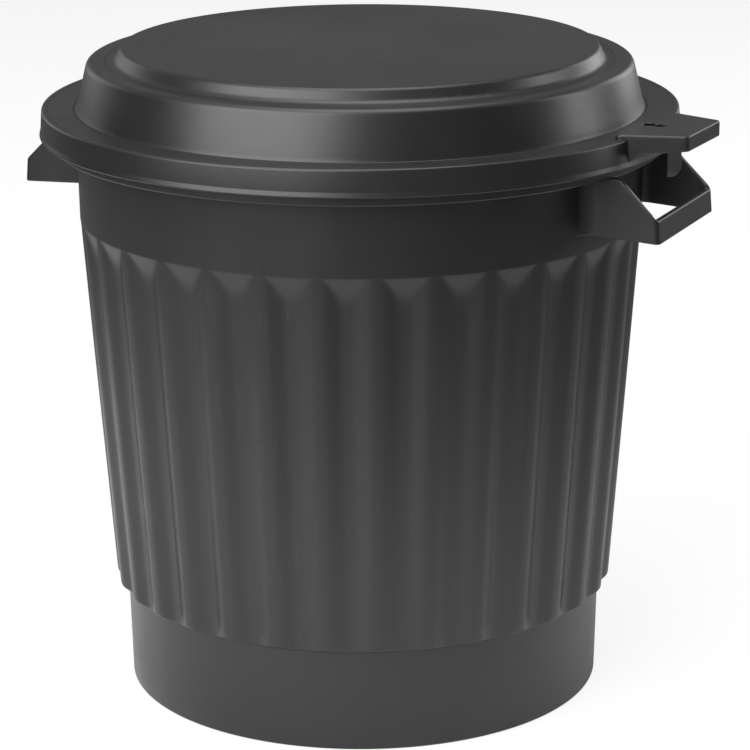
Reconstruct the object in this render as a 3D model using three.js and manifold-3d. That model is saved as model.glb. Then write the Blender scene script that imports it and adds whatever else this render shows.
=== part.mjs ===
import * as THREE from 'three';
import { mergeVertices } from 'three/addons/utils/BufferGeometryUtils.js';
import Module from 'manifold-3d';

// A round fluted bin of moulded plastic with a lift-off lid, in millimetres and degrees.
// The origin is the centre of the base, on the floor. +Z is up, and the bin's two carrying loops
// lie on the X axis. "Reach" is a distance outwards from the centre line of the bin.

// Bin: a tapered tub. Its rim is what the other sizes across are measured from.
const binHeight = 462.7; // floor to the top of the rim
const binWall = 2.5;
const rimRadius = 239.8; // at the lower edge of the rim's skirt
const rimWidth = 17.5; // from there in to the plain band under the rim, at the top of the rim
const plainTaper = 1.7; // how much narrower that band is at the top of the scoops
const ribTaper = 27; // how much nearer to the centre line the rib crests would be at the floor
const ribProud = 8.3; // how far the ribs stand off the smooth base band at their foot
const baseTaper = 2; // how much narrower the band is at the floor than at the ribs
const baseCorner = 3;

// Flutes: shallow channels with sloping sides, which run out in a scoop at their top
const fluteCount = 32;
const fluteMouth = 28; // width at the crests, measured at the scoops
const fluteFloor = 17; // width of the channel's floor, measured at the scoops
const fluteDepth = 5; // at the scoops; the floors meet the smooth base band at their foot
const scoopDrop = 82.2; // from the top of the rim down to the top of the scoops
const scoopHeight = 16.5;
const ribFoot = 80.5; // height at which the ribs stand off the base band
const ribStep = 3; // height of the sloping step under each rib

// Rim: turned out and down like an upside-down U
const rimDraft = 1.2; // how much narrower the skirt is at its top
const rimDrop = 25.8; // height of the skirt
const rimCorner = 3;

// Carrying loops: two arms under the rim and a grip bar between them
const loopLength = 29.9; // from the rim's skirt out to the grip bar's outer face, at its top
const loopLean = 1.5; // how much further out the bar's face is at its foot
const loopWidth = 122.6; // over both arms
const armThickness = 4.5;
const armSlope = 3; // the arm's lower edge rises towards the tub
const gripThickness = 5;
const gripHeight = 17.8;
const gripDrop = 27.7; // from the rim's lower edge down to the top of the grip bar

// Lid: a stepped cap with a down-turned brim
const lidWall = 2.5;
const seatGap = 0.3; // between the underside of the brim and the top of the bin's rim
const brimSpace = 6.1; // between the bin's rim and the inside of the brim's skirt
const lipFlare = 2.3; // from the top edge of the skirt out to the lip
const lipBead = 1.8; // how far the lip stands out from the skirt above it
const lipHeight = 4.5;
const brimDrop = 18.5; // top of the brim to the lower edge of the lip
const brimCorner = 2.4;
const brimWidth = 27.3; // from the foot of the raised band out to the skirt
const bandTaper = 8.8; // how much narrower the band is at its top
const bandHeight = 37.5; // top of the brim to the ledge
const bandShoulder = 4.5;
const ledgeWidth = 21.5; // from the disc's foot out to the band's top edge
const discTaper = 4.8;
const discStep = 9.9; // ledge to the edge of the disc
const discCorner = 1.8;
const domeRise = 11; // edge of the disc to its crown
const lidTurn = -1.7; // the lid can sit at any angle on the rim; here its tab is this far from the +X loop

// Lid tab: a hollow lifting tab on the brim, with one rounded tongue under its -Y side
const tabLength = 35.9; // from the lip out to the tab's outer face
const tabEndWidth = 67;
const tabOverlap = 1.7; // from the top edge of the skirt in to where the tab's sides start
const tabRootWidth = 92.4; // over both sides, there
const plateOverlap = 9.6; // from the top edge of the skirt in to the end of the tab's top plate
const plateRootWidth = 66;
const tabWall = 2.5;
const tabRise = 5.2; // its top above the top of the brim
const tabEndDepth = 11.5;
const tabRootDepth = 15;
const tongueWidth = 10;
const tongueFromEnd = 4.4; // from the tab's outer face to the tongue
const tongueDrop = 30.7; // top of the tab to the foot of the tongue
const tongueCorner = 9;
const slotLength = 17;
const slotWidth = 8;
const slotSetback = 38.6; // from the tab's outer face in to the centre of the slot
const slotAside = 4; // how far its centre lies to the -Y side of the tab's middle

// Clearances and the fineness of round shapes
const jointGap = 0.3; // left between two solids of one moulding
const lidSegments = 72;
const domeSteps = 7;
const cornerSteps = 3;

const degrees = Math.PI / 180;
const flutePitch = 2 * Math.PI / fluteCount;
const crestRadiusRim = rimRadius - rimWidth;
const crestRadiusScoop = crestRadiusRim - plainTaper;
const crestRadiusFloor = crestRadiusScoop - ribTaper;
const scoopTop = binHeight - scoopDrop;
const rimFoot = binHeight - rimDrop;
const loopReach = rimRadius + loopLength;
const gripTop = rimFoot - gripDrop;
const gripFoot = gripTop - gripHeight;
const brimRadius = rimRadius + brimSpace + lidWall;
const lipRadius = brimRadius + lipFlare;
const bandRadiusFoot = brimRadius - brimWidth;
const bandRadiusTop = bandRadiusFoot - bandTaper;
const discRadiusFoot = bandRadiusTop - ledgeWidth;
const discRadiusTop = discRadiusFoot - discTaper;
const brimTop = binHeight + seatGap + lidWall;
const lipFoot = brimTop - brimDrop;
const ledgeHeight = brimTop + bandHeight;
const discHeight = ledgeHeight + discStep;
const crownHeight = discHeight + domeRise;
const tabTop = brimTop + tabRise;
const tabReach = lipRadius + tabLength;
const tabRoot = brimRadius - tabOverlap;
const plateRoot = brimRadius - plateOverlap;
const slotReach = tabReach - slotSetback;

const wasm = await Module();
wasm.setup();

/** A closed geometry as a solid that can be cut and joined. */
function solid(geometry) {
  const bare = geometry.index ? geometry.toNonIndexed() : geometry.clone();
  bare.deleteAttribute('normal');
  bare.deleteAttribute('uv');
  const merged = mergeVertices(bare, 1e-4);
  const vertProperties = new Float32Array(merged.attributes.position.array);
  const triVerts = new Uint32Array(merged.index.array);
  return new wasm.Manifold(new wasm.Mesh({ numProp: 3, vertProperties, triVerts }));
}

/** A cut or joined solid back as a geometry. */
function geometryOf(shape) {
  const { vertProperties, triVerts } = shape.getMesh();
  const geometry = new THREE.BufferGeometry();
  geometry.setAttribute('position', new THREE.BufferAttribute(vertProperties, 3));
  geometry.setIndex(new THREE.BufferAttribute(triVerts, 1));
  geometry.computeVertexNormals();
  return geometry;
}

/** A height profile turned round the Z axis; its points run up the outside and back to the axis. */
function turned(profile, segments) {
  const points = profile.map(([radius, height]) => new THREE.Vector2(radius, height));
  return new THREE.LatheGeometry(points, segments).rotateX(Math.PI / 2);
}

/** A flat shape pulled up from one height to another. */
function pulled(outline, foot, top) {
  const shape = new THREE.Shape(outline.map(([x, y]) => new THREE.Vector2(x, y)));
  return new THREE.ExtrudeGeometry(shape, { depth: top - foot, bevelEnabled: false }).translate(0, 0, foot);
}

/** Replaces a sharp corner by an arc: the tangent points and cornerSteps chords between them. */
function roundedCorner(before, corner, after, radius) {
  const at = new THREE.Vector2(...corner);
  const toBefore = new THREE.Vector2(...before).sub(at).normalize();
  const toAfter = new THREE.Vector2(...after).sub(at).normalize();
  const half = Math.acos(toBefore.dot(toAfter)) / 2;
  const centre = toBefore.clone().add(toAfter).normalize().multiplyScalar(radius / Math.sin(half)).add(at);
  const start = toBefore.multiplyScalar(radius / Math.tan(half)).add(at).sub(centre);
  const end = toAfter.multiplyScalar(radius / Math.tan(half)).add(at).sub(centre);
  const sweep = start.cross(end) > 0 ? Math.PI - 2 * half : 2 * half - Math.PI;
  const points = [];
  for (let i = 0; i <= cornerSteps; i++) {
    const spoke = start.clone().rotateAround(new THREE.Vector2(), sweep * i / cornerSteps);
    points.push([centre.x + spoke.x, centre.y + spoke.y]);
  }
  return points;
}

/** A line of points moved sideways by a wall's thickness, to its right, with mitred corners. */
function offset(line, distance) {
  const normals = line.slice(1).map((point, i) => {
    const run = new THREE.Vector2(point[0] - line[i][0], point[1] - line[i][1]).normalize();
    return new THREE.Vector2(run.y, -run.x);
  });
  return line.map(([x, y], i) => {
    const first = normals[Math.max(i - 1, 0)];
    const second = normals[Math.min(i, normals.length - 1)];
    const mitre = first.clone().add(second);
    mitre.multiplyScalar(2 * distance / mitre.lengthSq());
    return [x + mitre.x, y + mitre.y];
  });
}

/** Radius of a straight tapered line between two heights. */
function taper(height, lowHeight, lowRadius, highHeight, highRadius) {
  return lowRadius + (highRadius - lowRadius) * (height - lowHeight) / (highHeight - lowHeight);
}

/** The line of the rib crests, and above the scoops the outside of the plain band. */
const crestRadius = (height) => (height < scoopTop
  ? taper(height, 0, crestRadiusFloor, scoopTop, crestRadiusScoop)
  : taper(height, scoopTop, crestRadiusScoop, binHeight, crestRadiusRim));
const baseRadiusTop = crestRadius(ribFoot) - ribProud;
const baseRadiusFloor = baseRadiusTop - baseTaper;
const baseRadius = (height) => taper(height, 0, baseRadiusFloor, ribFoot, baseRadiusTop);

/**
 * The tub with its rim. It is a skin of rings, from the middle of the base up the outside, over
 * the rim and down the inside. A ring's points alternate between rib crests and channel floors.
 */
function tub() {
  const mouthHalf = fluteMouth / 2 / crestRadius(scoopTop);
  const floorHalf = fluteFloor / 2 / crestRadius(scoopTop);
  const columns = [];
  for (let flute = 0; flute < fluteCount; flute++) {
    columns.push({ angle: flute * flutePitch - mouthHalf, floor: false });
    columns.push({ angle: flute * flutePitch - floorHalf, floor: true });
    columns.push({ angle: flute * flutePitch + floorHalf, floor: true });
    columns.push({ angle: flute * flutePitch + mouthHalf, floor: false });
  }
  const plain = (radius, height) => ({ height, crest: radius, floor: radius });
  const scoopFoot = scoopTop - scoopHeight;
  const scoopFloor = crestRadius(scoopFoot) - fluteDepth;
  const ribTop = ribFoot + ribStep;
  const innerRise = binWall * (1 - ribStep / (2 * fluteDepth)); // keeps the wall whole behind the step
  const innerCorner = baseCorner - binWall;
  const innerWall = (height) => plain(crestRadius(height) - binWall, height);

  const rings = [];
  rings.push(plain(baseRadiusFloor - baseCorner, 0));
  for (let i = 1; i <= cornerSteps; i++) {
    const turn = Math.PI / 2 * i / cornerSteps;
    const height = baseCorner * (1 - Math.cos(turn));
    rings.push(plain(baseRadius(height) - baseCorner * (1 - Math.sin(turn)), height));
  }
  rings.push(plain(baseRadiusTop, ribFoot));
  rings.push({ height: ribTop, crest: crestRadius(ribTop), floor: baseRadius(ribTop) });
  rings.push({ height: scoopFoot, crest: crestRadius(scoopFoot), floor: scoopFloor });
  rings.push(plain(crestRadius(scoopTop), scoopTop));
  rings.push(plain(crestRadius(binHeight - binWall), binHeight - binWall));
  rings.push(plain(rimRadius - rimDraft - binWall, binHeight - binWall));
  rings.push(plain(rimRadius - binWall, rimFoot));
  rings.push(plain(rimRadius, rimFoot));
  const shoulder = [rimRadius - rimDraft, binHeight];
  const rimCorners = roundedCorner([rimRadius, rimFoot], shoulder, [crestRadiusRim, binHeight], rimCorner);
  rimCorners.forEach(([radius, height]) => rings.push(plain(radius, height)));
  rings.push(innerWall(binHeight));
  rings.push(innerWall(scoopTop));
  rings.push({ height: scoopFoot, crest: crestRadius(scoopFoot) - binWall, floor: scoopFloor - binWall });
  const innerRibTop = ribTop + innerRise;
  rings.push({
    height: innerRibTop,
    crest: crestRadius(innerRibTop) - binWall,
    floor: baseRadius(innerRibTop) - binWall,
  });
  rings.push(plain(baseRadius(ribFoot + innerRise) - binWall, ribFoot + innerRise));
  for (let i = cornerSteps; i >= 0; i--) {
    const turn = Math.PI / 2 * i / cornerSteps;
    const height = binWall + innerCorner * (1 - Math.cos(turn));
    rings.push(plain(baseRadius(height) - binWall - innerCorner * (1 - Math.sin(turn)), height));
  }

  const positions = [];
  rings.forEach((ring) => columns.forEach(({ angle, floor }) => {
    const radius = floor ? ring.floor : ring.crest;
    positions.push(radius * Math.cos(angle), radius * Math.sin(angle), ring.height);
  }));
  const count = columns.length;
  const under = rings.length * count;
  positions.push(0, 0, 0, 0, 0, binWall);
  const indices = [];
  const fluted = (ring) => ring.crest !== ring.floor;
  for (let column = 0; column < count; column++) {
    const next = (column + 1) % count;
    indices.push(under, next, column);
    for (let row = 0; row < rings.length - 1; row++) {
      const [a, b] = [row * count + column, row * count + next];
      const [c, d] = [b + count, a + count];
      // Where a channel runs out, the fold goes from the plain ring's crest to the channel's floor.
      const crestFirst = columns[next].floor === fluted(rings[row + 1]);
      if (crestFirst) indices.push(a, b, c, a, c, d);
      else indices.push(a, b, d, b, c, d);
    }
    const last = (rings.length - 1) * count;
    indices.push(under + 1, last + column, last + next);
  }
  const geometry = new THREE.BufferGeometry();
  geometry.setAttribute('position', new THREE.Float32BufferAttribute(positions, 3));
  geometry.setIndex(indices);
  geometry.computeVertexNormals();
  return geometry;
}

/** A carrying loop on the +X side: two upright arms and the grip bar, cut to sit against the tub. */
function carryingLoop() {
  const armTop = rimFoot - jointGap;
  const gripFace = loopReach + loopLean;
  const armRise = (gripFace - crestRadiusFloor) * Math.tan(armSlope * degrees);
  const armSide = [
    [crestRadiusFloor, gripFoot + armRise],
    [gripFace, gripFoot],
    [loopReach, gripTop],
    [rimRadius + jointGap, armTop],
    [crestRadiusFloor, armTop],
  ];
  const gripSection = [
    [gripFace - gripThickness, gripFoot],
    [gripFace, gripFoot],
    [loopReach, gripTop],
    [loopReach - gripThickness, gripTop],
  ];
  // A shape drawn as reach and height, pulled along Y
  const upright = (outline, from, to) => solid(pulled(outline, -to, -from).rotateX(Math.PI / 2));
  const half = loopWidth / 2;
  const keepOut = [
    [0, 0],
    [crestRadiusFloor + jointGap, 0],
    [crestRadiusScoop + jointGap, scoopTop],
    [crestRadiusRim + jointGap, binHeight],
    [0, binHeight],
  ];
  return upright(armSide, half - armThickness, half)
    .add(upright(armSide, -half, armThickness - half))
    .add(upright(gripSection, -half, half))
    .subtract(solid(turned(keepOut, 4 * fluteCount)));
}

/** The outside of the lid from the crown's edge to the foot of the lip, with sharp corners. */
const lidCorners = [
  [discRadiusTop, discHeight],
  [discRadiusFoot, ledgeHeight],
  [bandRadiusTop, ledgeHeight],
  [bandRadiusFoot, brimTop],
  [brimRadius, brimTop],
  [lipRadius - lipBead, lipFoot + lipHeight],
];
const domeHeight = (radius) => discHeight + domeRise * (1 - (radius / discRadiusTop) ** 2);

/** The outside of the lid as a profile from the crown down to the lip, with its corners rounded. */
function lidOutside() {
  const dome = [];
  for (let i = 0; i < domeSteps; i++) {
    const radius = discRadiusTop * i / domeSteps;
    dome.push([radius, domeHeight(radius)]);
  }
  const [disc, discFoot, bandTop, bandFoot, brimEdge, skirtFoot] = lidCorners;
  return [
    ...dome,
    ...roundedCorner(dome.at(-1), disc, discFoot, discCorner),
    discFoot,
    ...roundedCorner(discFoot, bandTop, bandFoot, bandShoulder),
    bandFoot,
    ...roundedCorner(bandFoot, brimEdge, skirtFoot, brimCorner),
    skirtFoot,
    [lipRadius, lipFoot + lipHeight / 2],
    [lipRadius, lipFoot],
  ];
}

/** The lid without its tab: the outside, and the inside one wall's thickness behind it. */
function lidCap() {
  const inside = offset([...lidCorners, [lipRadius - lipBead / 2, lipFoot]], lidWall);
  inside[0] = [inside[0][0], domeHeight(inside[0][0]) - lidWall];
  inside[inside.length - 1][1] = lipFoot;
  const domeInside = [];
  for (let i = 0; i < domeSteps; i++) {
    const radius = inside[0][0] * i / domeSteps;
    domeInside.push([radius, domeHeight(radius) - lidWall]);
  }
  const profile = [...lidOutside(), ...inside.reverse(), ...domeInside.reverse()];
  return solid(turned(profile.reverse(), lidSegments));
}

/** The lid's tab on the +X side: a plate, an end wall, and two sides of which one has a tongue. */
function lidTab() {
  const [plateHalf, rootHalf, endHalf] = [plateRootWidth / 2, tabRootWidth / 2, tabEndWidth / 2];
  const platePlan = [
    [plateRoot, -plateHalf],
    [tabRoot, -rootHalf],
    [tabReach, -endHalf],
    [tabReach, endHalf],
    [tabRoot, rootHalf],
    [plateRoot, plateHalf],
  ];
  const plate = solid(pulled(platePlan, tabTop - tabWall, tabTop));
  const rootPlan = [
    [plateRoot, -plateHalf],
    [tabRoot, -rootHalf],
    [tabRoot, rootHalf],
    [plateRoot, plateHalf],
  ];
  const root = solid(pulled(rootPlan, brimTop, tabTop));
  const endPlan = [
    [tabReach - tabWall, -endHalf],
    [tabReach, -endHalf],
    [tabReach, endHalf],
    [tabReach - tabWall, endHalf],
  ];
  const endWall = solid(pulled(endPlan, tabTop - tabEndDepth, tabTop));

  const splay = Math.atan2(rootHalf - endHalf, tabReach - tabRoot);
  const length = Math.hypot(rootHalf - endHalf, tabReach - tabRoot);
  const tongueEnd = length - tongueFromEnd;
  const tongueStart = tongueEnd - tongueWidth;
  const tongueFoot = tabTop - tongueDrop;
  const edge = (along) => tabTop - taper(along, 0, tabRootDepth, length, tabEndDepth);
  const tongue = [
    [tongueStart, edge(tongueStart)],
    [tongueStart, tongueFoot],
    ...roundedCorner([tongueStart, tongueFoot], [tongueEnd, tongueFoot], [tongueEnd, tabTop], tongueCorner),
    [tongueEnd, edge(tongueEnd)],
  ];
  // Drawn as length along the side and height; its outer face then swings to the side's direction.
  const side = (underside) => {
    const outline = [[0, edge(0)], ...underside, [length, edge(length)], [length, tabTop], [0, tabTop]];
    return solid(pulled(outline, 0, tabWall).rotateX(Math.PI / 2).translate(0, tabWall, 0)
      .rotateZ(splay).translate(tabRoot, -rootHalf, 0));
  };

  const slot = solid(pulledSlot(lipFoot, crownHeight));
  const grown = offset(lidOutside(), -jointGap);
  grown[0][0] = 0;
  const lidReach = lipRadius + jointGap;
  const below = lipFoot - lipHeight;
  const lidSpace = [[0, below], [lidReach, below], ...grown.slice(0, -1).reverse()];
  return plate
    .add(root)
    .add(endWall)
    .add(side(tongue))
    .add(side([]).mirror([0, 1, 0]))
    .subtract(slot)
    .subtract(solid(turned(lidSpace, lidSegments)));
}

/** A slot with round ends, along X, from one height to another. */
function pulledSlot(foot, top) {
  const [half, radius] = [slotLength / 2 - slotWidth / 2, slotWidth / 2];
  const shape = new THREE.Shape();
  shape.absarc(half, 0, radius, -Math.PI / 2, Math.PI / 2);
  shape.absarc(-half, 0, radius, Math.PI / 2, 3 * Math.PI / 2);
  const options = { depth: top - foot, bevelEnabled: false, curveSegments: 2 * cornerSteps };
  return new THREE.ExtrudeGeometry(shape, options).translate(slotReach, -slotAside, foot);
}

const plastic = (color) => new THREE.MeshStandardMaterial({ color, roughness: 0.42, metalness: 0 });

const binColour = 0x26272a;
const lidColour = 0x28292c;

function piece(name, geometry, colour) {
  const mesh = new THREE.Mesh(geometry, plastic(colour));
  mesh.name = name;
  return mesh;
}

const loop = geometryOf(carryingLoop());
const leftLoop = piece('carry_loop_left', loop, binColour);
leftLoop.rotation.z = Math.PI;

const bin = new THREE.Group();
bin.add(piece('bin_tub', tub(), binColour));
bin.add(piece('carry_loop_right', loop, binColour));
bin.add(leftLoop);

const lid = new THREE.Group();
lid.rotation.z = lidTurn * degrees;
lid.add(piece('lid_cap', geometryOf(lidCap()), lidColour));
lid.add(piece('lid_tab', geometryOf(lidTab()), lidColour));

const model = new THREE.Group();
model.add(bin, lid);

export default model;
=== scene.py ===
"""Looks of a round fluted waste bin with a stepped lift-off lid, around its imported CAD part.

Sizes are in millimetres and angles in radians until a mesh is made, which is in metres. Heights
are above the floor, and a reach is the distance out from the bin's upright centre line, which is
the Z axis. The carrying loops lie on the X axis. The lid is drawn with its tab on +X and then
turned by LID_TURN.
"""

import math

import bpy
import numpy as np
from mathutils import Matrix, Vector


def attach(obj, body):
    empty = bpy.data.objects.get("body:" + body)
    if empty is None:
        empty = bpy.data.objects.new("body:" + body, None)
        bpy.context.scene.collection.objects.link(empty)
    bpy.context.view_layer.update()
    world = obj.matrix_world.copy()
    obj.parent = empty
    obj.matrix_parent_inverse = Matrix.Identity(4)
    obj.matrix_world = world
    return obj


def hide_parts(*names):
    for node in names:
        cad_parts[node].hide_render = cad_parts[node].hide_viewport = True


MM = 0.001

# Bin
BIN_HEIGHT = 462.7
WALL = 2.5
RIM_REACH = 239.8
RIM_DRAFT = 1.2
RIM_FOOT = 438.1
RIM_CORNER = 3.0
CREST_FLOOR = 193.6  # the line of the rib crests at the floor, and at the top of the scoops
CREST_WAIST = 212.6  # the crests swell a little above this height
WAIST_HEIGHT = 260.0
CREST_SCOOP = 221.0
CREST_TOP = 222.3  # the plain band above the scoops, at the top of the rim
BASE_FLOOR = 189.0  # the smooth band at the foot, at the floor and where the ribs start
BASE_TOP = 191.0
BASE_CORNER = 2.0
RIB_FOOT = 80.5
RIB_STEP = 3.0
FLUTES = 32
FLUTE_DEPTH = 4.5
FLUTE_DEPTH_FOOT = 5.4
FLUTE_FLAT = 2.4  # half the width of a channel's flat floor, at the scoops
FLUTE_MOUTH = 19.2  # half the width at which its sides have reached the crests
SCOOP_TOP = 380.5
SCOOP_HEIGHT = 16.5

# Carrying loops
LOOP_REACH = 269.7
LOOP_LEAN = 1.5
LOOP_HALF = 61.3
ARM_THICK = 4.5
ARM_SLOPE = math.radians(3)
GRIP_THICK = 5.0
GRIP_TOP = 409.2
GRIP_FOOT = 391.4
LOOP_CORNER = 4.2
LOOP_EDGE = 1.1
ROOT_FILLET = 9.0  # where the outer side of an arm meets the tub
ROOT_FILLET_IN = 0.3  # its inner side flares by this share of that
ROOT_DEPTH = 0.5  # how far the loop's ends go into the wall
ROOT_SPREAD = 4.0  # how fast the flare goes on inside the wall, out of sight

# Lid
LID_WALL = 2.5
BRIM_TOP = 466.6
BRIM_REACH = 248.4
LIP_REACH = 250.4
LIP_FOOT = 446.4
CROWN = 523.85
DISC_EDGE = 512.9
LEDGE = 503.0
DOME_REACH = 186.0
BAND_FOOT = 220.6
BAND_TOP = 212.3
LEDGE_REACH = 198.4  # inside this line the ledge is a little lower
DISC_FOOT = 190.8
LID_STEP = 0.6  # height of the small steps on the brim and the ledge
LID_TURN = math.radians(-1.7)

# Lid tab
TAB_TOP = 470.7
TAB_REACH = 286.5
TAB_END_HALF = 33.5
TAB_ROOT = (236.5, -49.3)
TAB_CORNER = 4.2
TAB_WALL = 2.5
TAB_EDGE = 1.5
TAB_FOOT_EDGE = 0.6
TAB_FROM = 241.5  # nearer to the axis than this, the tab has no skirt below the brim
TAB_SKIRT = ((244.0, 448.4), (251.0, 455.6), (260.0, 456.6), (270.0, 457.7), (TAB_REACH, 459.2))
RAMP = (229.0, 239.0)  # the plate rises from the brim to the tab's top between these
TONGUE_WIDTH = 10.0
TONGUE_FOOT = 440.0
TONGUE_ROUND = 9.0
TONGUE_TO_END = 14.2  # from the tongue's start to the tab's end, along the side
SLOT_CENTRE = (248.0, -4.0)
SLOT_HALF_STRAIGHT = 3.8
SLOT_RADIUS = 5.3
SLOT_WAIST = 3.0  # half the slot's width at its middle
SLOT_UNDERCUT = 5.0
SLOT_EDGE = 0.7
SLOT_PIT = 11.0  # how far the brim is sunk under the slot

# Camera, fitted to the photo: lens for a 36 mm sensor across a square picture
LENS = 145.79
CAMERA_DISTANCE = 2438.5
CAMERA_TILT = math.radians(16.324)
CAMERA_AZIMUTH = math.radians(25)
CAMERA_ROLL = math.radians(-0.297)
CAMERA_AIM = (9.4, 4.4, 243.8)

# Colours of marks on the plastic
SCUFF_COLOUR = (0.085, 0.085, 0.088)
RUBBED_COLOUR = (0.075, 0.075, 0.078)
DUST_COLOUR = (0.12, 0.117, 0.112)

# Room, in metres and watts. Azimuths and elevations are in degrees.
WORLD_STRENGTH = 0.3
LAMP_AIM = (0, 0, 0.3)
LAMPS = (  # name, azimuth from +X, elevation, distance, width, height, power
    ("key_left", -105, 30, 2.6, 2.7, 2.1, 114),
    ("side_right", 33, 18, 2.8, 0.75, 1.8, 24),
    ("front_fill", -42, 11, 3.0, 3.0, 1.6, 4),
    ("rear_left", 158, 14, 3.0, 1.6, 1.4, 8),
    ("rear_right", 74, 14, 3.0, 1.2, 1.4, 17),
    ("rear_fill", 115, 27, 3.2, 3.0, 1.6, 3.6),
    ("overhead", -65, 84, 2.6, 2.0, 2.0, 52),
)


# ---------------------------------------------------------------- shapes as arrays

def smooth(x, low, high):
    """0 below low, 1 above high, and the cubic 3t^2 - 2t^3 of the fraction t between them."""
    t = np.clip((x - low) / (high - low), 0, 1)
    return t * t * (3 - 2 * t)


def soft_least(a, b, sharpness=5):
    """The smaller of two lengths that are 0 or more, rounded where they cross: the power mean of
    -sharpness, a*b / (a^n + b^n)^(1/n)."""
    a, b = a + 1e-9, b + 1e-9
    top = np.maximum(a, b)
    return a * (b / top) / ((a / top) ** sharpness + (b / top) ** sharpness) ** (1 / sharpness)


def rounded(corners, radii, steps=5):
    """A polyline with each inner corner replaced by an arc of its radius, touching both sides."""
    corners = np.asarray(corners, float)
    line = [corners[0]]
    for before, corner, after, radius in zip(corners, corners[1:], corners[2:], radii):
        if radius == 0:
            line.append(corner)
            continue
        to_before = (before - corner) / np.linalg.norm(before - corner)
        to_after = (after - corner) / np.linalg.norm(after - corner)
        half = math.acos(np.clip(to_before @ to_after, -1, 1)) / 2
        middle = to_before + to_after
        centre = corner + middle / np.linalg.norm(middle) * radius / math.sin(half)
        spoke = corner + to_before * radius / math.tan(half) - centre
        side = np.sign(spoke[0] * (corner - centre)[1] - spoke[1] * (corner - centre)[0])
        turn = side * (math.pi - 2 * half) * np.linspace(0, 1, steps + 1)
        line += [centre + np.array([spoke[0] * math.cos(t) - spoke[1] * math.sin(t),
                                    spoke[0] * math.sin(t) + spoke[1] * math.cos(t)]) for t in turn]
    line.append(corners[-1])
    return np.array(line)


def grid_faces(rows, columns, close_rows=False, close_columns=True, first=0):
    """Quads between neighbouring points of a grid stored row by row."""
    row, column = np.meshgrid(np.arange(rows if close_rows else rows - 1),
                              np.arange(columns if close_columns else columns - 1), indexing="ij")
    right, up = (column + 1) % columns, (row + 1) % rows
    quads = np.stack([row * columns + column, row * columns + right,
                      up * columns + right, up * columns + column], axis=-1)
    return (quads.reshape(-1, 4) + first).tolist()


def fan(centre, ring):
    """Triangles from one point to each pair of neighbours on a closed ring of point numbers."""
    return np.stack([np.full(len(ring), centre), ring, np.roll(ring, -1)], axis=-1).tolist()


def turned_skin(reach, height, angle):
    """A skin round the Z axis: point (k, j) is at reach[k, j] from the axis in direction angle[j],
    and at height[k]. Its first and last rows close in one point each on the axis."""
    rows, columns = reach.shape
    up = np.broadcast_to(height[:, None], reach.shape)
    points = np.stack([reach * np.cos(angle), reach * np.sin(angle), up], axis=-1).reshape(-1, 3)
    first, last = [0, 0, height[0]], [0, 0, height[-1]]
    points = np.vstack([points, [first, last]])
    ring = np.arange(columns)
    faces = grid_faces(rows, columns)
    faces += fan(rows * columns, ring[::-1])
    faces += fan(rows * columns + 1, ring + (rows - 1) * columns)
    return points, faces


def joined(*parts):
    """Several (points, faces) as one."""
    points, faces, count = [], [], 0
    for some_points, some_faces in parts:
        faces += [[i + count for i in face] for face in some_faces]
        points.append(some_points)
        count += len(some_points)
    return np.vstack(points), faces


def turned_by(points, angle):
    """Points turned round the Z axis."""
    c, s = math.cos(angle), math.sin(angle)
    return points @ np.array([[c, s, 0], [-s, c, 0], [0, 0, 1]])


def piece(name, points, faces, material, body, nodes):
    """A mesh object from points in millimetres, smooth but for edges sharper than 38 degrees."""
    mesh = bpy.data.meshes.new(name)
    mesh.from_pydata((points * MM).tolist(), [], faces)
    mesh.validate()
    mesh.shade_smooth()
    mesh.set_sharp_from_angle(angle=math.radians(38))
    mesh.materials.append(material)
    made = bpy.data.objects.new(name, mesh)
    bpy.context.scene.collection.objects.link(made)
    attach(made, body)
    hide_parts(*nodes)


# ---------------------------------------------------------------- the bin

def crest_reach(height):
    """Straight lines: the rib crests up to the scoops, and the plain band above them."""
    return np.interp(height, [0, WAIST_HEIGHT, SCOOP_TOP, BIN_HEIGHT],
                     [CREST_FLOOR, CREST_WAIST, CREST_SCOOP, CREST_TOP])


def base_reach(height):
    """The straight line of the smooth band at the foot."""
    return BASE_FLOOR + (BASE_TOP - BASE_FLOOR) * height / RIB_FOOT


def tub_reach(angle, height):
    """The tub's outside. Across a channel the depth is a cubic from its flat floor to the crest.
    Down a channel it grows from the scoop, whose slope is the soft least of the channel's depth
    and the drop below the scoop's top. At the foot the ribs stand off the base band by the soft
    least of their height and a steep step."""
    phase = (angle * FLUTES / (2 * math.pi) + 0.5) % 1 - 0.5
    across = np.abs(phase) * 2 * math.pi / FLUTES * crest_reach(SCOOP_TOP)
    inside = 1 - smooth(across, FLUTE_FLAT, FLUTE_MOUTH)
    rib_top, scoop_foot = RIB_FOOT + RIB_STEP, SCOOP_TOP - SCOOP_HEIGHT
    share = np.clip((height - rib_top) / (scoop_foot - rib_top), 0, 1)
    depth = (FLUTE_DEPTH_FOOT + (FLUTE_DEPTH - FLUTE_DEPTH_FOOT) * share) * inside
    below = np.maximum(SCOOP_TOP - height, 0)
    drop = FLUTE_DEPTH / SCOOP_HEIGHT * below * below / (below + 0.8)
    channel = crest_reach(height) - soft_least(depth, drop)
    stand = np.maximum(channel - base_reach(height), 0)
    rib_stand = crest_reach(rib_top) - base_reach(rib_top)
    step = np.maximum(height - RIB_FOOT, 0) * rib_stand / RIB_STEP
    ribbed = base_reach(height) + soft_least(stand, step)
    ribbed = np.where(height <= RIB_FOOT, base_reach(height), ribbed)
    return np.where(height >= SCOOP_TOP, crest_reach(height), ribbed)


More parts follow.
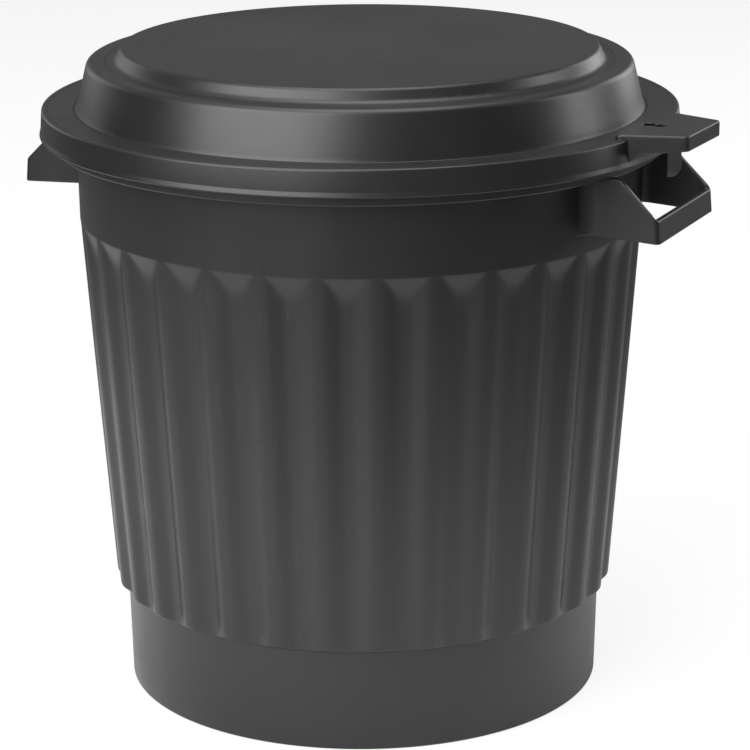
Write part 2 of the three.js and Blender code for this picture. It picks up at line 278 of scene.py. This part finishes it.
def tub():
    """The tub and its rim as one closed skin: from the middle of the underside up the outside,
    over the rim and down the inside to the middle of the floor."""
    pitch = 2 * math.pi / FLUTES
    # Columns from the middle of a channel to its side, and rows closest where the form turns
    half = np.array([0, 2.4, 4.2, 6, 8, 10, 12, 14, 15.7, 17.2, 19.4]) / crest_reach(SCOOP_TOP)
    one = np.concatenate([-half[:0:-1], half, [pitch / 2]])
    angle = (np.arange(FLUTES)[:, None] * pitch + one).reshape(-1)

    outside = np.array([
        12, 25, 45, 65, 75, 79.6, 80.5, 80.8, 81.2, 81.7, 82.3, 83, 83.7, 84.6, 86, 89, 95, 110,
        140, 180, 220, 260, 300, 330, 348, 356, 360, 362, 363.3, 364.4, 365.6, 367, 368.6, 370.3,
        372, 373.8, 375.5, 377, 378.2, 379.2, 380, 380.5, 381.2, 383, 390, 405, 425, 445])
    inside_scoops = np.array([
        440, 415, 395, 384, 381, 378.5, 375, 371, 367.5, 365, 362, 355, 335, 300])
    inside_ribs = np.array([
        250, 200, 150, 110, 96, 90, 87, 85.5, 84.4, 83.4, 82.5, 80, 65, 40, 20])

    base = rounded([[0, 0], [base_reach(0), 0], [base_reach(12), 12]], [BASE_CORNER], 6)
    base = np.vstack([[[60, 0]], [[130, 0]], base[1:-1]])
    shoulder = BIN_HEIGHT - WALL
    skirt = RIM_REACH - WALL
    rim = rounded([
        [crest_reach(452), 452], [crest_reach(shoulder), shoulder],
        [skirt - RIM_DRAFT, shoulder], [skirt, RIM_FOOT], [RIM_REACH, RIM_FOOT],
        [RIM_REACH - RIM_DRAFT, BIN_HEIGHT], [CREST_TOP - WALL, BIN_HEIGHT],
        [crest_reach(450) - WALL, 450]], [2, 2, 1.1, 1.1, RIM_CORNER, 1.0], 4)
    floor = rounded([[base_reach(16) - WALL, 16], [base_reach(WALL) - WALL, WALL], [0, WALL]],
                    [BASE_CORNER - WALL + 1.5], 6)
    floor = np.vstack([floor[:-1], [[130, WALL]], [[60, WALL]]])

    def plain(line):
        return np.repeat(line[:, :1], len(angle), axis=1), line[:, 1]

    def ribbed(heights, thickness, lift):
        return tub_reach(angle[None, :], heights[:, None] - lift) - thickness, heights

    lift = 1.9  # keeps the wall whole behind the step under the ribs
    strips = [plain(base), ribbed(outside, 0, 0), plain(rim),
              ribbed(inside_scoops, WALL, 0), ribbed(inside_ribs, WALL, lift), plain(floor)]
    reach = np.vstack([strip[0] for strip in strips])
    height = np.concatenate([strip[1] for strip in strips])
    return turned_skin(reach, height, angle)


def carrying_loop():
    """The +X loop: a strap with a rounded rectangular section, carried out along one arm, round a
    corner, along the grip bar, and back. Its top edge runs down at 45 degrees from the rim to the
    bar, its arms flare where they meet the tub, and both ends are inside the tub's wall."""
    grow = np.concatenate([[0, 0.01, 0.013, 0.018, 0.026, 0.038, 0.055, 0.08, 0.11, 0.15, 0.2],
                           np.linspace(0.28, 1, 10)])
    quarter = np.linspace(0, 1, 8)[1:] * math.pi / 2
    along = np.linspace(-1, 1, 25)[1:-1]

    def plan(half, reach, corner):
        """Half the strap's line in plan, then its mirror: share of the arm, reach and side."""
        arm_end = reach - corner
        arm = np.stack([grow, np.full(grow.shape, arm_end), np.full(grow.shape, -half)], axis=-1)
        bend = np.stack([np.full(quarter.shape, 1.0), arm_end + corner * np.sin(quarter),
                         -half + corner * (1 - np.cos(quarter))], axis=-1)
        bar = np.stack([np.full(along.shape, 1.0), np.full(along.shape, reach),
                        along * (half - corner)], axis=-1)
        front = np.vstack([arm, bend])
        back = front[::-1] * [1, 1, -1]
        return np.vstack([front, bar, back])

    outer = plan(LOOP_HALF, LOOP_REACH, LOOP_CORNER)
    inner = plan(LOOP_HALF - ARM_THICK, LOOP_REACH - GRIP_THICK, LOOP_CORNER - ARM_THICK + 1.0)
    thickness = np.linalg.norm((outer - inner)[:, 1:], axis=1)

    # Section: share from the outer face to the inner one, and height from foot (0) to top (1),
    # each with the distance that the rounded edge still keeps from it.
    turn = np.linspace(0, math.pi / 2, 5)
    cut, keep = LOOP_EDGE * (1 - np.cos(turn)), LOOP_EDGE * (1 - np.sin(turn))
    rise = np.linspace(0, 1, 9)[1:-1]
    zero, one = np.zeros(5), np.ones(5)
    flat = np.zeros(len(rise))
    side = np.concatenate([zero, flat, zero, one, flat + 1, one])
    side_keep = np.concatenate([cut[::-1], flat, cut, -cut[::-1], flat, -cut])
    level = np.concatenate([zero, rise, one, one, rise[::-1], zero])
    level_keep = np.concatenate([keep[::-1], flat, -keep, -keep[::-1], flat, keep])

    share = side[None, :] + side_keep[None, :] / thickness[:, None]
    position = outer[:, None, :] * (1 - share[..., None]) + inner[:, None, :] * share[..., None]
    grown, reach, across = position[..., 0], position[..., 1], position[..., 2]

    drop = (RIM_FOOT - GRIP_TOP) / (LOOP_REACH - RIM_REACH)
    wall_reach = np.sqrt(crest_reach(415) ** 2 - LOOP_HALF ** 2)
    line_reach = wall_reach + (outer[:, 1] - wall_reach) * outer[:, 0]
    top = np.clip(RIM_FOOT - drop * (line_reach - RIM_REACH), GRIP_TOP, RIM_FOOT + 0.9)
    out = np.clip((line_reach - RIM_REACH) / (LOOP_REACH - RIM_REACH), 0, 1)
    foot = GRIP_FOOT + (LOOP_REACH - line_reach) * math.tan(ARM_SLOPE)
    height = foot[:, None] + (top - foot)[:, None] * level[None, :] + level_keep[None, :]

    root = np.sqrt((crest_reach(height) - ROOT_DEPTH) ** 2 - across ** 2)
    reach = root + (reach - root) * grown
    low = np.clip((GRIP_TOP - height) / (GRIP_TOP - GRIP_FOOT), 0, 1)
    reach = reach + LOOP_LEAN * out[:, None] * low
    distance = np.hypot(reach, across)
    away = np.minimum(distance - crest_reach(height), ROOT_FILLET)
    arc = np.sqrt(ROOT_FILLET ** 2 - (ROOT_FILLET - np.maximum(away, 0)) ** 2)
    flare = (ROOT_FILLET - arc + ROOT_SPREAD * np.maximum(-away, 0)) * (outer[:, :1] < 1)
    across = across + np.sign(across) * np.where(share < 0.5, flare, -ROOT_FILLET_IN * flare)
    reach = np.sqrt(distance ** 2 - across ** 2)

    points = np.stack([reach, across, height], axis=-1)
    rows, columns = points.shape[:2]
    ring = np.arange(columns)
    faces = [face[::-1] for face in grid_faces(rows, columns)]
    faces += [ring.tolist(), (ring[::-1] + (rows - 1) * columns).tolist()]
    return points.reshape(-1, 3), faces


# ---------------------------------------------------------------- the lid

def dome_height(reach):
    """A shallow paraboloid from the crown to the edge of the disc."""
    return DISC_EDGE + (CROWN - DISC_EDGE) * (1 - (reach / DOME_REACH) ** 2)


def lid_cap():
    """The lid without its tab, turned round the axis: from the middle of the underside out and
    down the inside, round the lip, and up the outside over brim, band, ledge and disc."""
    sink = RIM_REACH + np.array([0.6, 1.4, 2.2])  # just outside the bin's rim
    outside = rounded([
        [LIP_REACH - 1.6, LIP_FOOT],
        [LIP_REACH, LIP_FOOT],
        [LIP_REACH, LIP_FOOT + 1.0],
        [LIP_REACH - 0.9, LIP_FOOT + 4.2],
        [BRIM_REACH, BRIM_TOP + LID_STEP],
        [BRIM_REACH - 3.6, BRIM_TOP + LID_STEP],
        [BRIM_REACH - 5.4, BRIM_TOP],
        *[[reach, BRIM_TOP] for reach in sink[::-1]],
        [BAND_FOOT + 3.6, BRIM_TOP],
        [BAND_FOOT + 2.4, BRIM_TOP - LID_STEP],
        [BAND_FOOT + 0.8, BRIM_TOP - LID_STEP],
        [BAND_FOOT, BRIM_TOP + 2.0],
        [BAND_TOP, LEDGE],
        [LEDGE_REACH, LEDGE],
        [LEDGE_REACH - 1.0, LEDGE - LID_STEP],
        [DISC_FOOT, LEDGE - LID_STEP],
        [DOME_REACH, DISC_EDGE],
        [DOME_REACH - 6.0, dome_height(DOME_REACH - 6.0)],
    ], [0.9, 1.3, 1.6, 2.0, 1.6, 2.0, 0, 0, 0, 0.8, 0.6, 0.7, 1.6, 5.5, 0.7, 0.5, 6.0, 4.0], 6)
    inside = rounded([
        [DOME_REACH - 8.0, dome_height(DOME_REACH - 8.0) - LID_WALL],
        [DOME_REACH - 2.4, DISC_EDGE - LID_WALL],
        [DISC_FOOT - 2.8, LEDGE - LID_WALL],
        [BAND_TOP - 2.4, LEDGE - LID_WALL],
        [BAND_FOOT - 2.2, BRIM_TOP - LID_WALL],
        *[[reach, BRIM_TOP - LID_WALL] for reach in sink],
        [BRIM_REACH - LID_WALL, BRIM_TOP - LID_WALL],
        [BRIM_REACH - LID_WALL + 0.3, LIP_FOOT + 4.6],
        [LIP_REACH - 2.9, LIP_FOOT + 1.6],
        [LIP_REACH - 2.6, LIP_FOOT],
        [LIP_REACH - 1.6, LIP_FOOT],
    ], [1.2, 1.2, 2.5, 2.5, 0, 0, 0, 1.5, 1.5, 0.8, 0], 4)
    reach_in = np.linspace(12, 172, 14)
    reach_out = np.linspace(176, 8, 22)
    under = np.stack([reach_in, dome_height(reach_in) - LID_WALL], axis=-1)
    over = np.stack([reach_out, dome_height(reach_out)], axis=-1)
    line = np.vstack([under, inside, outside[1:], over])
    angle = np.linspace(0, 2 * math.pi, 288, endpoint=False)
    points, faces = turned_skin(np.repeat(line[:, :1], len(angle), axis=1), line[:, 1], angle)
    points[-2, 2], points[-1, 2] = CROWN - LID_WALL, CROWN
    # Under the tab's slot the brim is sunk, out of sight and clear of the rim: the slot is open.
    out, off = np.hypot(points[:, 0], points[:, 1]), np.abs(points[:, 1] - SLOT_CENTRE[1])
    sunk = smooth(out, sink[0], sink[-1]) * (1 - smooth(off, 10, 16)) * (points[:, 0] > 0)
    points[:, 2] -= SLOT_PIT * sunk * smooth(points[:, 2], LIP_FOOT + 4.6, BRIM_TOP - LID_WALL)
    return points, faces


def slot_edge(direction):
    """The slot's outline seen from its centre, in each direction: the nearer root of the parabola
    |w| = waist + bulge * s^2 of its sides where the ray meets it, and otherwise the round end."""
    c, s = np.cos(direction), np.sin(direction)
    ahead = SLOT_HALF_STRAIGHT * np.abs(c)
    round_end = ahead + np.sqrt(np.maximum(SLOT_RADIUS ** 2 - (SLOT_HALF_STRAIGHT * s) ** 2, 0))
    bulge = (SLOT_RADIUS - SLOT_WAIST) / SLOT_HALF_STRAIGHT ** 2
    inside_root = s * s - 4 * SLOT_WAIST * bulge * c * c
    side = 2 * SLOT_WAIST / (np.abs(s) + np.sqrt(np.maximum(inside_root, 1e-9)))
    distance = np.where(inside_root > 0, side, round_end)
    return np.stack([c * distance, s * distance], axis=-1)


def lid_tab():
    """The tab as a closed ring of sections: each goes from the foot of the skirt up its outside,
    over the rounded edge, in across the plate, down through the slot, and back underneath."""
    half_plan = rounded([
        [RAMP[0], 0.0], [RAMP[0], -24.0], [RAMP[0] + 2.0, -42.0], TAB_ROOT,
        [TAB_REACH, -TAB_END_HALF], [TAB_REACH, 0.0]],
        [14.0, 9.0, 3.0, TAB_CORNER], 9)
    # Even spacing of about 1.5 mm between the corners' own points
    gaps = np.linalg.norm(np.diff(half_plan, axis=0), axis=1)
    length = np.concatenate([[0], np.cumsum(gaps)])
    tongue_from = length[-1] - TAB_END_HALF - TONGUE_TO_END
    tongue_marks = np.array([0, 0.02, 0.3, 0.7, 9.3, 9.98, TONGUE_WIDTH])
    marks = np.concatenate([length, np.arange(0, length[-1], 1.5), tongue_from + tongue_marks])
    marks = np.unique(np.round(marks, 3))
    near = np.stack([np.interp(marks, length, half_plan[:, k]) for k in (0, 1)], axis=-1)
    far = near[-2:0:-1] * [1, -1]
    plan = np.vstack([near, far])
    side = np.concatenate([np.ones(len(near), bool), np.zeros(len(far), bool)])

    ahead, behind = np.roll(plan, -1, axis=0), np.roll(plan, 1, axis=0)
    run = ahead - behind
    run /= np.linalg.norm(run, axis=1, keepdims=True)
    normal = np.stack([run[:, 1], -run[:, 0]], axis=-1)
    centre = np.array(SLOT_CENTRE)
    spoke = plan - centre
    hole = centre + slot_edge(np.arctan2(spoke[:, 1], spoke[:, 0]))

    def surface(at):
        """Height of the plate's top: level on the tab, and down to the brim towards the band."""
        distance = np.hypot(at[..., 0], at[..., 1])
        low = BRIM_TOP - 0.7 - 2.3 * smooth(distance, 244.0, 248.5)
        ramp = smooth(at[..., 0], *RAMP)
        return low + (TAB_TOP - low) * ramp

    def underside(at):
        """One wall under the top, but never below the brim that carries the plate's root."""
        brim = np.where(np.hypot(at[..., 0], at[..., 1]) < 247, BRIM_TOP - 2.2, 0)
        return np.maximum(surface(at) - TAB_WALL, brim)

    # Foot of the skirt: straight pieces, and the tongue with one quarter-circle corner
    skirt = np.interp(plan[:, 0], *zip(*TAB_SKIRT))
    position = np.concatenate([marks, np.full(len(far), -1.0)]) - tongue_from
    inset = np.clip(TONGUE_WIDTH - position, 0, TONGUE_ROUND)
    drop = np.sqrt(np.maximum(TONGUE_ROUND ** 2 - (TONGUE_ROUND - inset) ** 2, 0))
    tongue = np.minimum(TONGUE_FOOT + TONGUE_ROUND - drop, skirt)
    on_tongue = side & (position > 0.01) & (position < TONGUE_WIDTH - 0.01)
    foot = np.where(on_tongue, tongue, skirt)
    foot = np.where(plan[:, 0] > TAB_FROM, foot, BRIM_TOP - 1.9)

    turn = np.linspace(0, math.pi / 2, 6)
    rows = []

    def row(at, height):
        rows.append(np.column_stack([at, np.broadcast_to(height, len(at))]))

    top = surface(plan - normal * TAB_EDGE)
    foot = np.minimum(foot, top - 1.6)
    for t in turn[::2]:
        row(plan - normal * TAB_FOOT_EDGE * (1 - math.sin(t)),
            foot + TAB_FOOT_EDGE * (1 - math.cos(t)))
    start, end = foot + np.minimum(TAB_FOOT_EDGE, (top - foot) * 0.3), top - TAB_EDGE * 0.6
    for share in (0.2, 0.4, 0.6, 0.8):
        row(plan, start + (end - start) * share)
    for t in turn:
        row(plan - normal * TAB_EDGE * (1 - math.cos(t)), top - TAB_EDGE * (1 - math.sin(t)))
    rim_in = plan - normal * TAB_EDGE
    away = hole - centre
    hole_rim = hole + away / np.linalg.norm(away, axis=1, keepdims=True) * SLOT_EDGE
    for share in (0.06, 0.13, 0.22, 0.32, 0.43, 0.54, 0.65, 0.76, 0.86, 0.94):
        at = rim_in + (hole_rim - rim_in) * share
        row(at, surface(at))
    for t in turn[::2]:
        row(hole_rim + (hole - hole_rim) * math.sin(t),
            surface(hole) - SLOT_EDGE * (1 - math.cos(t)))
    inner = plan - normal * TAB_WALL
    below = hole + (hole_rim - hole) * SLOT_UNDERCUT / SLOT_EDGE
    row(below, underside(below))
    for share in (0.2, 0.4, 0.6, 0.8, 1.0):
        at = below + (inner - below) * share
        row(at, underside(at))
    row(inner, foot + TAB_FOOT_EDGE)
    row(inner + normal * TAB_FOOT_EDGE, foot)

    points = np.vstack(rows)
    return points, grid_faces(len(rows), len(plan), close_rows=True)


# ---------------------------------------------------------------- finishes

def new_group(name, inputs, outputs):
    """An empty shader node group with float, vector or colour sockets, and its two ends."""
    kinds = {"value": "NodeSocketFloat", "vector": "NodeSocketVector", "colour": "NodeSocketColor"}
    group = bpy.data.node_groups.new(name, "ShaderNodeTree")
    for socket, kind, default in inputs:
        made = group.interface.new_socket(socket, in_out="INPUT", socket_type=kinds[kind])
        if default is not None:
            made.default_value = default
    for socket, kind in outputs:
        group.interface.new_socket(socket, in_out="OUTPUT", socket_type=kinds[kind])
    return group, group.nodes.new("NodeGroupInput"), group.nodes.new("NodeGroupOutput")


def node(tree, kind, values=None, **settings):
    """A node with settings, and values or links for its inputs by name or number."""
    made = tree.nodes.new(kind)
    for key, value in settings.items():
        setattr(made, key, value)
    for key, value in (values or {}).items():
        if isinstance(value, bpy.types.NodeSocket):
            tree.links.new(value, made.inputs[key])
        else:
            made.inputs[key].default_value = value
    return made


def maths(tree, operation, first, second=0.0, clamp=False):
    """One sum of two values, held between 0 and 1 if clamp is set."""
    return node(tree, "ShaderNodeMath", {0: first, 1: second}, operation=operation,
                use_clamp=clamp).outputs[0]


def remap(tree, value, from_low, from_high, to_low=0.0, to_high=1.0):
    """A smooth step from to_low to to_high as the value goes from from_low to from_high."""
    return node(tree, "ShaderNodeMapRange",
                {0: value, 1: from_low, 2: from_high, 3: to_low, 4: to_high},
                interpolation_type="SMOOTHSTEP").outputs[0]


def noise(tree, position, scale, detail, roughness=0.5):
    return node(tree, "ShaderNodeTexNoise", {"Vector": position, "Scale": scale, "Detail": detail,
                                             "Roughness": roughness}).outputs[0]


def finish_mask(group, start, end, first, second):
    """The group's mask: two masks and its Amount, multiplied."""
    both = maths(group, "MULTIPLY", first, second)
    mask = maths(group, "MULTIPLY", both, start.outputs["Amount"], clamp=True)
    group.links.new(mask, end.inputs["Mask"])
    return group


def grain_group():
    """Moulded grain: fine pits, with a slower unevenness of the mould under them."""
    group, start, end = new_group(
        "moulded_grain", [("Position", "vector", None), ("Grain size", "value", 0.0007)],
        [("Grain", "value"), ("Unevenness", "value")])
    scale = maths(group, "DIVIDE", 1.0, start.outputs["Grain size"])
    place = start.outputs["Position"]
    group.links.new(noise(group, place, scale, 2.0, 0.6), end.inputs["Grain"])
    group.links.new(noise(group, place, 28.0, 3.0), end.inputs["Unevenness"])
    return group


def wear_group():
    """Rubbed edges: where the surface bends sharply outwards, broken up by noise."""
    group, start, end = new_group(
        "rubbed_edges", [("Position", "vector", None), ("Amount", "value", 0.5)],
        [("Mask", "value")])
    bend = node(group, "ShaderNodeNewGeometry").outputs["Pointiness"]
    sharp = remap(group, bend, 0.53, 0.62)
    patches = noise(group, start.outputs["Position"], 60.0, 5.0, 0.65)
    return finish_mask(group, start, end, sharp, remap(group, patches, 0.4, 0.68))


def dust_group():
    """Dust: on faces that look up, in soft patches."""
    group, start, end = new_group(
        "settled_dust", [("Position", "vector", None), ("Amount", "value", 0.2)],
        [("Mask", "value")])
    normal = node(group, "ShaderNodeNewGeometry").outputs["Normal"]
    up = node(group, "ShaderNodeSeparateXYZ", {0: normal}).outputs[2]
    level = remap(group, up, 0.25, 0.95)
    patches = noise(group, start.outputs["Position"], 9.0, 6.0, 0.6)
    return finish_mask(group, start, end, level, remap(group, patches, 0.3, 0.75, 0.35, 1.0))


def scuff_group():
    """Fine scuffs: thin streaks, stretched along one direction by the Stretch vector."""
    group, start, end = new_group(
        "fine_scuffs", [("Position", "vector", None), ("Stretch", "vector", (1.0, 1.0, 0.06)),
                        ("Amount", "value", 0.3)], [("Mask", "value")])
    drawn = node(group, "ShaderNodeVectorMath",
                 {0: start.outputs["Position"], 1: start.outputs["Stretch"]}, operation="MULTIPLY")
    thin = remap(group, noise(group, drawn.outputs[0], 420.0, 3.0, 0.7), 0.58, 0.74)
    patchy = remap(group, noise(group, start.outputs["Position"], 12.0, 2.0), 0.45, 0.7)
    return finish_mask(group, start, end, thin, patchy)


GRAIN, WEAR, DUST, SCUFFS = grain_group(), wear_group(), dust_group(), scuff_group()


def satin_plastic(name, colour, roughness, grain_size, grain_depth, stretch, wear, dust, scuffs):
    """Dark moulded plastic with a satin skin. Sizes are in metres, colours are linear, and wear,
    dust and scuffs are the amounts of those marks."""
    material = bpy.data.materials.new(name)
    material.use_nodes = True
    tree = material.node_tree
    shader = tree.nodes["Principled BSDF"]
    place = node(tree, "ShaderNodeTexCoord").outputs["Object"]

    def effect(group, **values):
        made = node(tree, "ShaderNodeGroup", node_tree=group)
        tree.links.new(place, made.inputs["Position"])
        for key, value in values.items():
            made.inputs[key.replace("_", " ")].default_value = value
        return made.outputs

    grain = effect(GRAIN, Grain_size=grain_size)
    rubbed = effect(WEAR, Amount=wear)["Mask"]
    dusty = effect(DUST, Amount=dust)["Mask"]
    scuffed = effect(SCUFFS, Stretch=stretch, Amount=scuffs)["Mask"]

    def mixed(base, over, mask):
        made = node(tree, "ShaderNodeMix", data_type="RGBA")
        for key, value in ((0, mask), (6, base), (7, over)):
            if isinstance(value, bpy.types.NodeSocket):
                tree.links.new(value, made.inputs[key])
            else:
                made.inputs[key].default_value = (*value, 1.0)
        return made.outputs[2]

    cloudy = mixed([c * 0.88 for c in colour], [c * 1.12 for c in colour], grain["Unevenness"])
    scuffed_colour = mixed(cloudy, SCUFF_COLOUR, scuffed)
    rubbed_colour = mixed(scuffed_colour, RUBBED_COLOUR, rubbed)
    tree.links.new(mixed(rubbed_colour, DUST_COLOUR, dusty), shader.inputs["Base Color"])

    gloss = maths(tree, "ADD", roughness - 0.05, maths(tree, "MULTIPLY", grain["Unevenness"], 0.1))
    gloss = maths(tree, "ADD", gloss, maths(tree, "MULTIPLY", scuffed, 0.25))
    gloss = maths(tree, "ADD", gloss, maths(tree, "MULTIPLY", dusty, 0.5), clamp=True)
    tree.links.new(gloss, shader.inputs["Roughness"])

    bump = node(tree, "ShaderNodeBump",
                {"Strength": 1.0, "Distance": grain_depth, "Height": grain["Grain"]})
    tree.links.new(bump.outputs[0], shader.inputs["Normal"])
    return material


def plain_floor():
    """A white floor and backdrop. Seen directly it is lifted to plain white and keeps the
    object's shadow. For all other rays its colour is a painted pool of light, dull far away."""
    material = bpy.data.materials.new("pale_floor")
    material.use_nodes = True
    tree = material.node_tree
    shader = tree.nodes["Principled BSDF"]
    seen = node(tree, "ShaderNodeLightPath").outputs["Is Camera Ray"]
    place = node(tree, "ShaderNodeTexCoord").outputs["Object"]
    # Painted pool of light for all rays but the camera's: the floor's colour is white within 0.45 m
    # of a point a little towards -X and dull beyond 1.22 m, so the bin reflects a lit floor.
    distance = node(tree, "ShaderNodeVectorMath", {0: place, 1: (-0.14, -0.01, 0.0)},
                    operation="DISTANCE").outputs["Value"]
    painted_light_pool = remap(tree, distance, 0.45, 1.22, 0.96, 0.2)
    tone = maths(tree, "ADD", painted_light_pool, maths(tree, "MULTIPLY", seen, 0.9), clamp=True)
    tree.links.new(tone, shader.inputs["Base Color"])
    shader.inputs["Roughness"].default_value = 0.8
    shader.inputs["Specular IOR Level"].default_value = 0.2
    white = node(tree, "ShaderNodeEmission", {"Color": (1.0, 1.0, 1.0, 1.0), "Strength": 1.0})
    lift = maths(tree, "MULTIPLY", seen, 0.85)
    both = node(tree, "ShaderNodeMixShader", {0: lift, 1: shader.outputs[0], 2: white.outputs[0]})
    tree.links.new(both.outputs[0], tree.nodes["Material Output"].inputs[0])
    return material


# ---------------------------------------------------------------- the room

def stage_sheet():
    """Floor and backdrop in one sheet: level, then a quarter circle up to an upright wall. It is
    round about the axis, so that it looks the same from every side."""
    flat, bend, wall_top = 6.0, 2.5, 9.0
    rings, columns = 8, 96
    under_base = 0.0004  # keeps the sheet just clear of the bin's base
    turn = np.linspace(0, math.pi / 2, 13)[1:]
    reach = np.concatenate([np.linspace(0.4, flat, rings), flat + bend * np.sin(turn),
                            [flat + bend]])
    height = np.concatenate([np.zeros(rings), bend * (1 - np.cos(turn)), [wall_top]])
    angle = np.linspace(0, 2 * math.pi, columns, endpoint=False)
    up = np.broadcast_to(height[:, None], (len(reach), columns))
    points = np.stack([reach[:, None] * np.cos(angle), reach[:, None] * np.sin(angle), up],
                      axis=-1).reshape(-1, 3)
    points = np.vstack([points, [[0, 0, 0]]])
    points[:, 2] -= under_base
    faces = [face[::-1] for face in grid_faces(len(reach), columns)]
    faces += fan(len(points) - 1, np.arange(columns))
    mesh = bpy.data.meshes.new("floor")
    mesh.from_pydata(points.tolist(), [], faces)
    mesh.shade_smooth()
    mesh.materials.append(plain_floor())
    made = bpy.data.objects.new("floor", mesh)
    bpy.context.scene.collection.objects.link(made)


def soft_lamp(name, azimuth, elevation, distance, width, height, power):
    """An area lamp at an azimuth and elevation in degrees, aimed at the middle of the object."""
    lamp = bpy.data.lights.new(name, "AREA")
    lamp.shape = "RECTANGLE"
    lamp.size, lamp.size_y = width, height
    lamp.energy = power
    made = bpy.data.objects.new(name, lamp)
    a, e = math.radians(azimuth), math.radians(elevation)
    back = Vector((math.cos(a) * math.cos(e), math.sin(a) * math.cos(e), math.sin(e)))
    made.location = Vector(LAMP_AIM) + back * distance
    made.rotation_euler = back.to_track_quat("Z", "Y").to_euler()
    bpy.context.scene.collection.objects.link(made)


def light_the_room():
    """A pale world that the camera sees as white, and the lamps."""
    world = bpy.data.worlds.new("room")
    world.use_nodes = True
    tree = world.node_tree
    shader = tree.nodes["Background"]
    light = node(tree, "ShaderNodeLightPath").outputs
    strength = maths(tree, "MULTIPLY", light["Is Camera Ray"], 1.0 - WORLD_STRENGTH)
    strength = maths(tree, "ADD", WORLD_STRENGTH, strength)
    shader.inputs["Color"].default_value = (1.0, 1.0, 1.0, 1.0)
    tree.links.new(strength, shader.inputs["Strength"])
    bpy.context.scene.world = world
    for lamp in LAMPS:
        soft_lamp(*lamp)


def place_camera():
    """The camera looks at CAMERA_AIM from the photo's azimuth and tilt, with its small roll."""
    camera = bpy.data.cameras.new("camera")
    camera.sensor_width = 36
    camera.lens = LENS
    camera.clip_end = 50
    made = bpy.data.objects.new("camera", camera)
    back = Vector((math.sin(CAMERA_AZIMUTH) * math.cos(CAMERA_TILT),
                   -math.cos(CAMERA_AZIMUTH) * math.cos(CAMERA_TILT), math.sin(CAMERA_TILT)))
    turn = back.to_track_quat("Z", "Y").to_matrix() @ Matrix.Rotation(CAMERA_ROLL, 3, "Z")
    place = Matrix.Translation((Vector(CAMERA_AIM) + back * CAMERA_DISTANCE) * MM)
    made.matrix_world = place @ turn.to_4x4()
    bpy.context.scene.collection.objects.link(made)
    bpy.context.scene.camera = made


# ---------------------------------------------------------------- the build

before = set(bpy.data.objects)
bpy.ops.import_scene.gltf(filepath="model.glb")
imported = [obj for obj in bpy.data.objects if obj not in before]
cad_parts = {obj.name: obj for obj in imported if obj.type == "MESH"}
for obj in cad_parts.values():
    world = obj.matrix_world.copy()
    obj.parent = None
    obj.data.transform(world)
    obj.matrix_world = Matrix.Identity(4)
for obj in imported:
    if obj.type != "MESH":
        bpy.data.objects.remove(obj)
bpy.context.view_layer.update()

bin_plastic = satin_plastic(
    "bin_plastic", colour=(0.0068, 0.0071, 0.0076), roughness=0.39, grain_size=0.0008,
    grain_depth=0.00003, stretch=(1.0, 1.0, 0.05), wear=0.5, dust=0.08, scuffs=0.25)
lid_plastic = satin_plastic(
    "lid_plastic", colour=(0.0078, 0.0081, 0.0086), roughness=0.37, grain_size=0.0009,
    grain_depth=0.00003, stretch=(0.3, 1.0, 1.0), wear=0.5, dust=0.1, scuffs=0.2)

loop_points, loop_faces = carrying_loop()
bin_points, bin_faces = joined(tub(), (loop_points, loop_faces),
                               (turned_by(loop_points, math.pi), loop_faces))
piece("fluted_bin", bin_points, bin_faces, bin_plastic, "bin",
      ["bin_tub", "carry_loop_left", "carry_loop_right"])

lid_points, lid_faces = joined(lid_cap(), lid_tab())
piece("stepped_lid", turned_by(lid_points, LID_TURN), lid_faces, lid_plastic, "lid",
      ["lid_cap", "lid_tab"])

stage_sheet()
light_the_room()
place_camera()
bpy.context.scene.view_settings.view_transform = "Standard"
